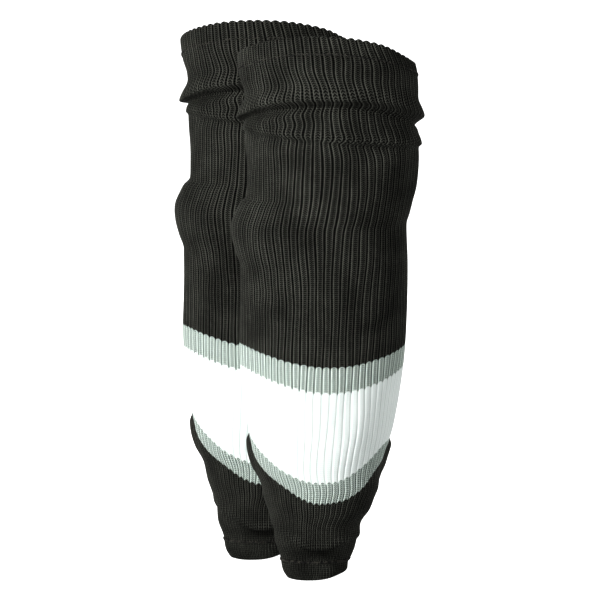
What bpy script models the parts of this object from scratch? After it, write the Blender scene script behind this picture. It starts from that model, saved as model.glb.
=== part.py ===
"""A pair of hockey shin guards, each inside its footless knitted sock, standing on the sock hems.

Each unit is a hinged guard: a shin shell, a knee cup and a thigh shell that pivot on two rivets at the
knee, with liners, calf wings and straps. The sock over it is one knitted tube, made here as one solid
for each yarn colour and hem. The wearer faces -X, so the left unit is the one nearer -Y. Lengths are in
metres, angles in degrees, and an angle round the leg is 0 at the front (-X) and grows towards -Y.
"""

import math

import bmesh
import bpy
import numpy as np
from mathutils import Matrix, Vector

MM = 0.001

# Driving dimensions: a 14 inch guard, which is 351 mm from its lower edge to the knee's axis.
KNEE_HEIGHT = 390 * MM
KNEE_AXIS_X = 36 * MM
GUARD_FOOT = 44 * MM
KNEE_ZONE = 76 * MM

# From the right unit to the left one: a step back, and sideways far enough for both to stand free.
UNIT_STEP = Vector((64.6 * MM, -164 * MM, 0))

# The outside of the sock: height, centre in x, half length in x and half width in y.
STATIONS = np.array(
    [
        (0, -0.5, 37, 37.5),
        (26, -0.5, 37, 37.5),
        (40, -1.4, 46, 49),
        (63, 1.4, 49, 53),
        (86, 3, 60.6, 58),
        (115, 2.5, 70, 63),
        (147, 2, 80, 67),
        (200, 4.8, 86.5, 71),
        (262, 5.3, 94, 74),
        (314, 7.5, 94, 75),
        (354, 7.6, 95, 77),
        (390, 3.8, 100.5, 79),
        (428, 11.3, 96, 77),
        (468, 17, 95.1, 76),
        (513, 16, 95, 77),
        (545, 16, 98, 78),
        (570, 12.4, 99.8, 79),
        (596, 7, 97, 78),
        (621, 4, 90, 74),
    ]
) * MM

# Courses of the knit where the yarn changes: height at the front and back, and the sag at the sides.
LOWER_STRIPE_FOOT = (150 * MM, 59.7 * MM)
BAND_FOOT = (160 * MM, 45 * MM)
UPPER_STRIPE_FOOT = (240 * MM, 21.6 * MM)
UPPER_STRIPE_TOP = (264 * MM, 16.2 * MM)
ANKLE_HEM = 26 * MM

# The rim slopes down to +Y and a little to the back, and bows up at both sides.
RIM_MIDDLE = 589.5 * MM
RIM_FRONT_RISE = 1.5 * MM
RIM_NEAR_RISE = 22.5 * MM
RIM_BOW = 8 * MM
TOP_HEM = 20 * MM

# Layers from the outside of the sock inwards, as the depth of each one's outer face.
SOCK_WALL = 3 * MM
HEM_WALL = 5 * MM
STRAP_DEPTH = 4.4 * MM
SHELL_DEPTH = 5.4 * MM
TAB_DEPTH = 7.0 * MM
WING_DEPTH = 9.4 * MM
THIGH_STRAP_DEPTH = 9.4 * MM
PAD_DEPTH = 9.8 * MM
THIGH_TAB_DEPTH = 12.0 * MM
LINER_DEPTH = 13.6 * MM
SHELL_WALL = 2.5 * MM
CUP_WALL = 3 * MM
WING_WALL = 1.8 * MM
STRAP_WALL = 1.5 * MM
TAB_WALL = 1 * MM
LINER_WALL = 8 * MM
PAD_WALL = 10 * MM

# Hinge arms lie side by side on both sides of the knee: the inner face of each, from the middle plane.
SHIN_ARM_Y = 60.8 * MM
CUP_ARM_Y = 63.4 * MM
THIGH_ARM_Y = 66.0 * MM
ARM_WALL = 2 * MM
ARM_HALF_WIDTH = 11 * MM
ENVELOPE_HEIGHTS = (200 * MM, 600 * MM)
PIVOT_SHANK = 3.8 * MM
PIVOT_HOLE = 4.2 * MM
PIVOT_HEAD = (6.5 * MM, 1.1 * MM)
WING_RIVET_HEAD = (4.6 * MM, 0.7 * MM)
RIVET_CROWN_RADIUS = 0.62
RIVET_CROWN_HEIGHT = 0.85
WING_RIVET_SHANK = 2.2 * MM
WING_RIVET_HOLE = 2.5 * MM
WING_RIVET_SLACK = 0.9 * MM
WING_RIVET_ANGLE = 67.5
WING_RIVET_HEIGHT = 200 * MM

COURSE_GAP = 1.2 * MM
RIVET_SLACK = 0.3 * MM
COLUMN = 15
SHELL_EDGE = 5 * COLUMN

COLOURS = {
    "black_knit": ((0.022, 0.022, 0.020), 0.95, 0),
    "grey_knit": ((0.42, 0.47, 0.43), 0.95, 0),
    "white_knit": ((0.86, 0.87, 0.86), 0.95, 0),
    "hard_plastic": ((0.03, 0.03, 0.032), 0.35, 0),
    "flexible_plastic": ((0.05, 0.05, 0.055), 0.5, 0),
    "foam_liner": ((0.16, 0.17, 0.18), 0.9, 0),
    "webbing": ((0.018, 0.018, 0.019), 0.8, 0),
    "hook_tape": ((0.03, 0.03, 0.03), 0.7, 0),
    "rivet_steel": ((0.62, 0.62, 0.64), 0.3, 1),
}


def clear_scene():
    for item in list(bpy.data.objects):
        bpy.data.objects.remove(item, do_unlink=True)


def new_collection(name):
    collection = bpy.data.collections.new(name)
    bpy.context.scene.collection.children.link(collection)
    return collection


def material(name):
    """The Principled material of one finish, made the first time it is asked for."""
    found = bpy.data.materials.get(name)
    if found:
        return found
    colour, roughness, metallic = COLOURS[name]
    made = bpy.data.materials.new(name)
    made.use_nodes = True
    shader = made.node_tree.nodes["Principled BSDF"]
    shader.inputs["Base Color"].default_value = (*colour, 1)
    shader.inputs["Roughness"].default_value = roughness
    shader.inputs["Metallic"].default_value = metallic
    return made


def skin_point(angle, height, depth=0.0):
    """The point of the sock's outside at an angle round the leg and a height, moved in by depth."""
    centre_x, half_length, half_width = (
        np.interp(height, STATIONS[:, 0], STATIONS[:, column]) for column in range(1, 4)
    )
    turn = math.radians(angle)
    x = centre_x - (half_length - depth) * math.cos(turn)
    return Vector((x, -(half_width - depth) * math.sin(turn), height))


def skin_normal(angle, height):
    """The outward direction of the sock's outside, from small steps along it and up it."""
    along = skin_point(angle + 1, height) - skin_point(angle - 1, height)
    up = skin_point(angle, height + MM) - skin_point(angle, height - MM)
    return along.cross(up).normalized()


def add_object(name, mesh, finish, unit):
    """A part of a unit: an object in the model's collection that hangs on the unit's empty."""
    made = bpy.data.objects.new(name, mesh)
    unit["parts"].objects.link(made)
    made.parent = unit["empty"]
    made.data.materials.append(material(finish))
    return made


def wrapped_sheet(name, angles, levels, depth):
    """A grid wrapped on the leg: a column for each angle, a row for each level, welded if it closes."""
    bm = bmesh.new()
    bmesh.ops.create_grid(bm, x_segments=len(angles) - 1, y_segments=len(levels) - 1, size=1)
    bm.verts.ensure_lookup_table()
    for index, vertex in enumerate(bm.verts):
        row, column = divmod(index, len(angles))
        angle = angles[column]
        vertex.co = skin_point(angle, levels[row](angle), depth)
    if angles[-1] - angles[0] == 360:
        bmesh.ops.remove_doubles(bm, verts=bm.verts, dist=0.01 * MM)
    mesh = bpy.data.meshes.new(name)
    bm.to_mesh(mesh)
    bm.free()
    mesh.shade_smooth()
    return mesh


def thicken(made, wall):
    """Gives an open surface its wall, on the inner side."""
    solidify = made.modifiers.new("wall", "SOLIDIFY")
    solidify.thickness = wall
    solidify.offset = -1
    solidify.use_even_offset = True


def course(height, sag):
    """A course of the knit: its height at an angle, which sags at both sides of the leg."""
    return lambda angle: height - sag * math.sin(math.radians(angle)) ** 2


def rim(angle):
    turn = math.radians(angle)
    slope = RIM_FRONT_RISE * math.cos(turn) + RIM_NEAR_RISE * math.sin(turn)
    return RIM_MIDDLE + slope + RIM_BOW * math.sin(turn) ** 2


def shifted(edge, rise):
    return lambda angle: edge(angle) + rise


def bowed(height, change, half_angle, middle=0):
    """An edge whose height is as given at the middle angle and changes towards the panel's sides."""
    return lambda angle: height + change * ((angle - middle) / half_angle) ** 2


def flat(height):
    return lambda angle: height


def rows_between(low, high, count):
    """Evenly spaced rows from one edge of a panel to the other, each a height at an angle."""
    return [
        lambda angle, share=share: low(angle) + (high(angle) - low(angle)) * share
        for share in np.linspace(0, 1, count + 1)
    ]


def panel(name, unit, finish, first, last, low, high, rows, depth, wall):
    """A curved panel between two columns of the leg and two edges."""
    angles = [COLUMN * step for step in range(first, last + 1)]
    mesh = wrapped_sheet(name, angles, rows_between(low, high, rows), depth)
    made = add_object(name, mesh, finish, unit)
    thicken(made, wall)
    return made


def hidden_helper(name, mesh, unit):
    """A cutter or other helper of a Boolean, which isn't a part."""
    made = bpy.data.objects.new(name, mesh)
    unit["helpers"].objects.link(made)
    made.parent = unit["empty"]
    made.hide_render = True
    made.display_type = "WIRE"
    return made


def cylinder_mesh(name, radius, length, sides, matrix):
    bm = bmesh.new()
    bmesh.ops.create_cone(
        bm,
        cap_ends=True,
        segments=sides,
        radius1=radius,
        radius2=radius,
        depth=length,
        matrix=matrix,
    )
    mesh = bpy.data.meshes.new(name)
    bm.to_mesh(mesh)
    bm.free()
    return mesh


def combine(made, helper, operation):
    boolean = made.modifiers.new(operation.lower(), "BOOLEAN")
    boolean.operation = operation
    boolean.object = helper
    boolean.solver = "EXACT"


def guard_envelope(unit):
    """The closed body that the hinge arms are trimmed to, as deep in the leg as the shells."""
    low, high = ENVELOPE_HEIGHTS
    heights = [height for height in STATIONS[:, 0] if low < height < high]
    angles = [COLUMN * step for step in range(360 // COLUMN + 1)]
    name = unit["name"] + "envelope"
    mesh = wrapped_sheet(name, angles, [flat(height) for height in heights], SHELL_DEPTH)
    bm = bmesh.new()
    bm.from_mesh(mesh)
    bmesh.ops.holes_fill(bm, edges=bm.edges)
    bmesh.ops.recalc_face_normals(bm, faces=bm.faces)
    bm.to_mesh(mesh)
    bm.free()
    return hidden_helper(name, mesh, unit)


def arm_mesh(name, middle_y, end_x, end_height):
    """A flat bar with round ends, from the knee's pivot to a point of the panel that it carries."""
    bm = bmesh.new()
    across = Matrix.Rotation(math.pi / 2, 4, "X")
    for x, height in ((KNEE_AXIS_X, KNEE_HEIGHT), (end_x, end_height)):
        bmesh.ops.create_cone(
            bm,
            cap_ends=True,
            segments=16,
            radius1=ARM_HALF_WIDTH,
            radius2=ARM_HALF_WIDTH,
            depth=ARM_WALL,
            matrix=Matrix.Translation((x, middle_y, height)) @ across,
        )
    hull = bmesh.ops.convex_hull(bm, input=bm.verts)
    spare = [item for item in hull["geom_interior"] if isinstance(item, bmesh.types.BMVert)]
    bmesh.ops.delete(bm, geom=spare, context="VERTS")
    bmesh.ops.dissolve_limit(bm, angle_limit=math.radians(1), verts=bm.verts, edges=bm.edges)
    bmesh.ops.recalc_face_normals(bm, faces=bm.faces)
    mesh = bpy.data.meshes.new(name)
    bm.to_mesh(mesh)
    bm.free()
    return mesh


def add_hinge_arms(made, unit, inner_y, end_x, end_height):
    """Two flat arms from the pivots to the panel, trimmed to the envelope, joined on and bored."""
    for side, which in ((1, "near"), (-1, "far")):
        name = f"{made.name}_{which}_arm"
        mesh = arm_mesh(name, -side * (inner_y + ARM_WALL / 2), end_x, end_height)
        arm = hidden_helper(name, mesh, unit)
        combine(arm, unit["envelope"], "INTERSECT")
        combine(made, arm, "UNION")
    place = Matrix.Translation((KNEE_AXIS_X, 0, KNEE_HEIGHT)) @ Matrix.Rotation(math.pi / 2, 4, "X")
    bore = cylinder_mesh(made.name + "_bore", PIVOT_HOLE, 4 * THIGH_ARM_Y, 16, place)
    combine(made, hidden_helper(made.name + "_bore", bore, unit), "DIFFERENCE")


def rivet(name, unit, shank, grip, head, sides, matrix):
    """A rivet turned about its own z, with a domed head at each end of its grip."""
    half = grip / 2
    head_radius, head_height = head
    crown = head_radius * RIVET_CROWN_RADIUS
    crown_height = half + head_height * RIVET_CROWN_HEIGHT
    profile = [
        (0, half + head_height),
        (crown, crown_height),
        (head_radius, half),
        (shank, half),
        (shank, -half),
        (head_radius, -half),
        (crown, -crown_height),
        (0, -half - head_height),
    ]
    mesh = bpy.data.meshes.new(name)
    points = [(radius, 0, height) for radius, height in profile]
    mesh.from_pydata(points, [(i, i + 1) for i in range(len(points) - 1)], [])
    made = add_object(name, mesh, "rivet_steel", unit)
    made.matrix_local = matrix
    screw = made.modifiers.new("turn", "SCREW")
    screw.steps = sides
    screw.render_steps = sides
    screw.use_merge_vertices = True
    screw.merge_threshold = 0.01 * MM
    return made


def build_sock(unit):
    """The knitted tube, as rings that each stop half a course short of the next one."""
    edges = [
        flat(-COURSE_GAP / 2),
        flat(ANKLE_HEM),
        course(*LOWER_STRIPE_FOOT),
        course(*BAND_FOOT),
        course(*UPPER_STRIPE_FOOT),
        course(*UPPER_STRIPE_TOP),
        flat(KNEE_HEIGHT - KNEE_ZONE),
        flat(KNEE_HEIGHT + KNEE_ZONE),
        shifted(rim, -TOP_HEM),
        shifted(rim, COURSE_GAP / 2),
    ]
    rings = [
        ("ankle_hem", "black_knit", 1, HEM_WALL),
        ("sock_ankle", "black_knit", 8, SOCK_WALL),
        ("sock_lower_stripe", "grey_knit", 1, SOCK_WALL),
        ("sock_band", "white_knit", 3, SOCK_WALL),
        ("sock_upper_stripe", "grey_knit", 1, SOCK_WALL),
        ("sock_calf", "black_knit", 2, SOCK_WALL),
        ("sock_knee", "black_knit", 4, SOCK_WALL),
        ("sock_thigh", "black_knit", 4, SOCK_WALL),
        ("top_hem", "black_knit", 1, HEM_WALL),
    ]
    for (name, finish, rows, wall), low, high in zip(rings, edges, edges[1:]):
        panel(
            unit["name"] + name, unit, finish, 0, 360 // COLUMN,
            shifted(low, COURSE_GAP / 2), shifted(high, -COURSE_GAP / 2), rows, 0, wall,
        )


def build_shin(unit):
    """The shin shell with its arms, its liner, and the calf wings riveted to its two edges."""
    prefix = unit["name"]
    shell = panel(
        prefix + "shin_shell", unit, "hard_plastic", -5, 5,
        bowed(GUARD_FOOT, 22 * MM, SHELL_EDGE), bowed(322 * MM, -8 * MM, SHELL_EDGE),
        12, SHELL_DEPTH, SHELL_WALL,
    )
    add_hinge_arms(shell, unit, SHIN_ARM_Y, -44 * MM, 300 * MM)
    panel(
        prefix + "shin_liner", unit, "foam_liner", -7, 7,
        bowed(60 * MM, 60 * MM, 7 * COLUMN), bowed(318 * MM, -44 * MM, 7 * COLUMN),
        6, LINER_DEPTH, LINER_WALL,
    )
    for side, which in unit["sides"]:
        first, last = sorted((side * 4, side * 8))
        edge = 4 * COLUMN * side
        wing = panel(
            prefix + "calf_wing_" + which, unit, "flexible_plastic", first, last,
            bowed(120 * MM, 12 * MM, 4 * COLUMN, edge), bowed(282 * MM, -14 * MM, 4 * COLUMN, edge),
            4, WING_DEPTH, WING_WALL,
        )
        inner_face = WING_DEPTH + WING_WALL
        grip = inner_face - SHELL_DEPTH + 2 * WING_RIVET_SLACK
        spot = side * WING_RIVET_ANGLE, WING_RIVET_HEIGHT
        middle = skin_point(*spot, (SHELL_DEPTH + inner_face) / 2)
        turn = skin_normal(*spot).to_track_quat("Z", "Y").to_matrix().to_4x4()
        place = Matrix.Translation(middle) @ turn
        name = prefix + "wing_rivet_" + which
        rivet(name, unit, WING_RIVET_SHANK, grip, WING_RIVET_HEAD, 12, place)
        bore = cylinder_mesh(name + "_bore", WING_RIVET_HOLE, 20 * MM, 12, place)
        cutter = hidden_helper(name + "_bore", bore, unit)
        combine(shell, cutter, "DIFFERENCE")
        combine(wing, cutter, "DIFFERENCE")


def build_straps(unit):
    """Elastic straps behind the calf and above the ankle, each held to a wing by a hook tab."""
    side = unit["fastening_side"]
    for name, low, high in (("calf", 226 * MM, 260 * MM), ("lower", 142 * MM, 166 * MM)):
        strap = f"{unit['name']}{name}_strap"
        edges = flat(low), flat(high)
        panel(strap, unit, "webbing", 7, 17, *edges, 1, STRAP_DEPTH, STRAP_WALL)
        first, last = sorted((side * 7, side * 8))
        edges = flat(low + 3 * MM), flat(high - 3 * MM)
        panel(strap + "_tab", unit, "hook_tape", first, last, *edges, 1, TAB_DEPTH, TAB_WALL)


def build_knee(unit):
    """The hard knee cup with its arms, and the pad inside it."""
    cup = panel(
        unit["name"] + "knee_cup", unit, "hard_plastic", -5, 5,
        bowed(338 * MM, 18 * MM, SHELL_EDGE), bowed(442 * MM, -18 * MM, SHELL_EDGE),
        6, SHELL_DEPTH, CUP_WALL,
    )
    add_hinge_arms(cup, unit, CUP_ARM_Y, -40 * MM, KNEE_HEIGHT)
    panel(
        unit["name"] + "knee_pad", unit, "foam_liner", -3, 3,
        bowed(348 * MM, 8 * MM, 3 * COLUMN), bowed(432 * MM, -8 * MM, 3 * COLUMN),
        4, PAD_DEPTH, PAD_WALL,
    )


def build_thigh(unit):
    """The thigh shell with its arms, its pad, and the strap behind the thigh with its hook tab."""
    prefix = unit["name"]
    shell = panel(
        prefix + "thigh_shell", unit, "hard_plastic", -5, 5,
        bowed(456 * MM, 4 * MM, SHELL_EDGE), bowed(552 * MM, -22 * MM, SHELL_EDGE),
        5, SHELL_DEPTH, SHELL_WALL,
    )
    add_hinge_arms(shell, unit, THIGH_ARM_Y, -8 * MM, 478 * MM)
    panel(
        prefix + "thigh_pad", unit, "foam_liner", -3, 3,
        bowed(468 * MM, 4 * MM, 3 * COLUMN), bowed(570 * MM, -14 * MM, 3 * COLUMN),
        4, PAD_DEPTH, PAD_WALL,
    )
    edges = flat(500 * MM), flat(530 * MM)
    panel(prefix + "thigh_strap", unit, "webbing", 4, 20, *edges, 1, THIGH_STRAP_DEPTH, STRAP_WALL)
    first, last = sorted((unit["fastening_side"] * 5, unit["fastening_side"] * 6))
    edges = flat(503 * MM), flat(527 * MM)
    tab = prefix + "thigh_strap_tab"
    panel(tab, unit, "hook_tape", first, last, *edges, 1, THIGH_TAB_DEPTH, TAB_WALL)


def build_pivots(unit):
    """The two rivets that the knee cup and the thigh shell turn on."""
    grip = THIGH_ARM_Y + ARM_WALL - SHIN_ARM_Y + 2 * RIVET_SLACK
    across = Matrix.Rotation(math.pi / 2, 4, "X")
    for side, which in unit["sides"]:
        middle_y = -side * (SHIN_ARM_Y + THIGH_ARM_Y + ARM_WALL) / 2
        place = Matrix.Translation((KNEE_AXIS_X, middle_y, KNEE_HEIGHT)) @ across
        name = unit["name"] + "knee_rivet_" + which
        rivet(name, unit, PIVOT_SHANK, grip, PIVOT_HEAD, 16, place)


def build_unit(name, outer_side, parts, helpers):
    """One leg's guard and sock. The outer side is 1 where the wearer's outer side is -Y, else -1."""
    empty = bpy.data.objects.new(name + "unit", None)
    parts.objects.link(empty)
    unit = {
        "name": name,
        "empty": empty,
        "parts": parts,
        "helpers": helpers,
        "sides": ((outer_side, "outer"), (-outer_side, "inner")),
        "fastening_side": outer_side,
    }
    unit["envelope"] = guard_envelope(unit)
    build_sock(unit)
    build_shin(unit)
    build_straps(unit)
    build_knee(unit)
    build_thigh(unit)
    build_pivots(unit)
    return empty


def box_centre(parts):
    """The middle of the parts' box, level with its base."""
    bpy.context.view_layer.update()
    depsgraph = bpy.context.evaluated_depsgraph_get()
    corners = np.array(
        [
            made.matrix_world @ Vector(corner)
            for made in parts.objects
            if made.type == "MESH"
            for corner in made.evaluated_get(depsgraph).bound_box
        ]
    )
    low, high = corners.min(axis=0), corners.max(axis=0)
    return Vector(((low[0] + high[0]) / 2, (low[1] + high[1]) / 2, low[2]))


def main():
    clear_scene()
    parts = new_collection("hockey_shin_guards")
    helpers = new_collection("boolean_helpers")
    left = build_unit("left_", 1, parts, helpers)
    right = build_unit("right_", -1, parts, helpers)
    left.location = UNIT_STEP / 2
    right.location = -UNIT_STEP / 2
    offset = box_centre(parts)
    for empty in (left, right):
        empty.location = empty.location - offset


main()
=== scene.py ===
"""A pair of hockey shin guards, each inside its striped rib-knit sock, standing on the sock hems."""

import math

import bpy
import numpy as np
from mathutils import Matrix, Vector


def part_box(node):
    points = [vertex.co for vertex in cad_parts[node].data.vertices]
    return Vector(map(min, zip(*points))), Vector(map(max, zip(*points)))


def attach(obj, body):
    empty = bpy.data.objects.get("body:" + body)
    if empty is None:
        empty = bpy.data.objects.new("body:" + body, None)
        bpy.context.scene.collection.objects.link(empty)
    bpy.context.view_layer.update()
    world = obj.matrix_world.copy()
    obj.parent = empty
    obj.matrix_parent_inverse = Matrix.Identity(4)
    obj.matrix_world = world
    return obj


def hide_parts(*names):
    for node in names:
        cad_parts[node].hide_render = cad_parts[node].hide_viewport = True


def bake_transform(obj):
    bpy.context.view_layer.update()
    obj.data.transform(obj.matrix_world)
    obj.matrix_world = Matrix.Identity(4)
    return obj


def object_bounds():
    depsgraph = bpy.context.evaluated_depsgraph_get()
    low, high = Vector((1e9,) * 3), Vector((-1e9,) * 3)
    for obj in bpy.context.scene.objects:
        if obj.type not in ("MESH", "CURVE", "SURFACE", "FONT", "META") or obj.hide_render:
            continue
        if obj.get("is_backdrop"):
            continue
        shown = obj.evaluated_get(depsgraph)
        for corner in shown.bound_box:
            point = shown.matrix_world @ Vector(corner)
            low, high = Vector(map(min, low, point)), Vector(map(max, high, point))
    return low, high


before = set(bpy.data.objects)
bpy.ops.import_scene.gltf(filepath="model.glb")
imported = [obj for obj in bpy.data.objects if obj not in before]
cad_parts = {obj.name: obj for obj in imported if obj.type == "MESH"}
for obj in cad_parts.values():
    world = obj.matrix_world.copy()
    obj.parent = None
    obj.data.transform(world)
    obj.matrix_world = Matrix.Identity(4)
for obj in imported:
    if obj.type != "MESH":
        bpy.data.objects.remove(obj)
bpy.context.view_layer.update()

# The sock's skin: a footless tube of heavy one-by-one rib knit pulled over the guard. It takes the guard's
# shape, with the knee cup's bulge, two slack folds round the thigh, a lip where the shin shell ends above
# the ankle, and a tuck of spare knit in front and behind, level with the lower stripe.
MM = 0.001
WALES = 64
COURSE = 2.3
RIB_RELIEF = 1.15
KNIT_WALL = 3.0
# The middle of each unit on the ground, in mm: half a millimetre behind its ankle hem's own middle.
UNITS = {
    name: np.array(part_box(name + "_ankle_hem")).mean(axis=0) * (1, 1, 0) / MM + (0.5, 0, 0)
    for name in ("left", "right")
}
# How far the skin's front, back and side stand from the unit's middle, by height, both in mm.
FRONT = (
    (0, -33.5), (8, -37.5), (25, -42.5), (44, -49.5), (62, -51), (72, -53.5), (90, -59.5), (108, -63),
    (126, -70.5), (147, -75.2), (165, -77.2), (200, -81.7), (262, -86.8), (314, -86.4), (356, -86.8),
    (390, -84.5), (432, -78.2), (468, -78.2), (496, -79.5), (535, -80.5), (553, -83), (570, -88.4),
    (592, -91), (625, -91.5),
)
BACK = (
    (0, 32.5), (8, 34), (18, 35.5), (25, 40), (34, 43.6), (49, 46.5), (61, 47.8), (78, 59), (90, 64),
    (104, 69.6), (118, 71), (147, 79), (170, 85.5), (200, 91), (262, 99), (314, 101.3), (360, 102.4),
    (401, 101.4), (413, 104.3), (427, 107), (445, 110.5), (484, 113), (520, 113.5), (552, 114.2), (570, 113),
    (588, 109), (606, 102), (625, 96),
)
SIDE = (
    (0, 35.5), (12, 38), (26, 40.5), (40, 48.5), (63, 53), (86, 57.5), (115, 62.5), (147, 67), (200, 71),
    (262, 74), (314, 75), (354, 77), (390, 78.5), (428, 77), (468, 76), (513, 77), (545, 78), (570, 78.5),
    (596, 77.5), (625, 74),
)
# How far the knee cup pushes the knit forward, in mm, and how full each tuck is, from 0 to 1, by height.
KNEE_BULGE = ((352, 0), (370, 6), (386, 11), (404, 13.5), (419, 10), (427, 6.4), (432, 0.6), (440, 0))
FRONT_TUCK = ((90, 0), (106, 0.2), (124, 0.75), (143, 1), (153, 0.95), (162, 0.4), (169, 0))
BACK_TUCK = ((106, 0), (115, 0.45), (127, 0.95), (147, 1), (154, 0.6), (159, 0))
# How many wales the ribs crowd towards the front and back, by height.
WALE_SPREAD = (
    (0, 0.5), (110, 0.56), (180, 0.1), (255, -0.2), (330, 0.02), (370, 0.35), (430, 0.55), (625, 0.5),
)
# The folds round the thigh: each one's middle height, its tilts to the front and to one side, and its bow.
UPPER_FOLD = (527, 1, 21, 7)
CREASE = (516, 3.7, 17, 7)
LOWER_FOLD = (501.5, 8.5, 3, 0)


def eased(at, stations):
    """A cubic through the stations, whose slope at each one is the harmonic mean of the slopes beside it."""
    known, values = np.array(stations, float).T
    steps = np.diff(known)
    slopes = np.diff(values) / steps
    before, after = slopes[:-1], slopes[1:]
    same_way = before * after > 0
    safe = np.where(same_way, before + after, 1)
    inner = np.where(same_way, 2 * before * after / safe, 0)
    tangents = np.concatenate(([0], inner, [0]))
    at = np.clip(at, known[0], known[-1])
    index = np.clip(np.searchsorted(known, at, side="right") - 1, 0, len(steps) - 1)
    step = steps[index]
    share = (at - known[index]) / step
    return (
        values[index] * (1 + 2 * share) * (1 - share) ** 2
        + tangents[index] * step * share * (1 - share) ** 2
        + values[index + 1] * share**2 * (3 - 2 * share)
        + tangents[index + 1] * step * share**2 * (share - 1)
    )


def hump(offset, width):
    """A bell curve, 1 at no offset."""
    return np.exp(-((offset / width) ** 2))


def turn_hump(turn, middle, width):
    """A bell curve round the leg about a middle angle, both in degrees."""
    return hump((np.degrees(turn) - middle + 180) % 360 - 180, width)


def ramp(value):
    """Rises smoothly from 0 at 0 to 1 at 1."""
    value = np.clip(value, 0, 1)
    return value * value * (3 - 2 * value)


def fold_height(turn, middle, front, near, bow):
    """The height of a fold round the leg: its middle, tilted to the front and to one side, and bowed."""
    return middle + front * np.cos(turn) + near * np.sin(turn) + bow * np.sin(turn) ** 2


def drift(turn, course, unit):
    """How many wales the ribs lie to one side of straight: a decaying wave under the upper fold, a jog at the
    lower one, a crowding towards the front and back, a shear at the knee, and a slow wander."""
    lean = 1 if unit == "left" else -1
    upper = fold_height(turn, *UPPER_FOLD)
    zigzag = np.sin((course - upper) * math.tau / 27 + 0.6) * hump(course - upper + 12, 20)
    slack = 0.07 + 0.95 * turn_hump(turn, 28, 34) + 0.6 * turn_hump(turn, 150, 30)
    slack = slack + 0.4 * turn_hump(turn, 270, 60)
    spread = eased(course, WALE_SPREAD) * np.sin(2 * turn)
    knee = 0.25 * np.tanh((course - 390) / 32) * hump(course - 390, 120) * turn_hump(turn, 60, 34)
    hang = 0.35 * np.sin((course - 545) / 13 + 3 * turn) * hump(course - 566, 22)
    wander = 0.07 * np.sin(turn * 5 + course / 34 + 2 * lean) + 0.05 * np.sin(turn * 11 - course / 15)
    lower = fold_height(turn, *LOWER_FOLD)
    jog = 0.6 * np.tanh((course - lower) / 2.5) * hump(course - lower, 12) * np.sin(2 * turn + 0.4)
    return 0.8 * slack * zigzag + jog + spread + knee + hang + wander


def crest(wale):
    """The rib's height at a count of wales: 0 in the groove at each whole number, 1 along the rib's middle."""
    return np.abs(np.sin(np.pi * wale)) ** 0.42


def turn_of(wale, course, unit):
    """The angle round the leg of a wale at a height: its share of the turn, less its drift there. The drift
    depends on the angle, so the angle is found in a few steps that each start from the one before."""
    turn = wale * math.tau / WALES
    for _ in range(4):
        turn = (wale - drift(turn, course, unit)) * math.tau / WALES
    return turn


def lip_height(turn):
    """The height in mm of the shin shell's lower edge, where the knit turns in to the ankle."""
    facing = np.cos(turn)
    return 38 + np.where(facing > 0, 24, 9.5) * np.abs(facing) ** 1.6


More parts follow.
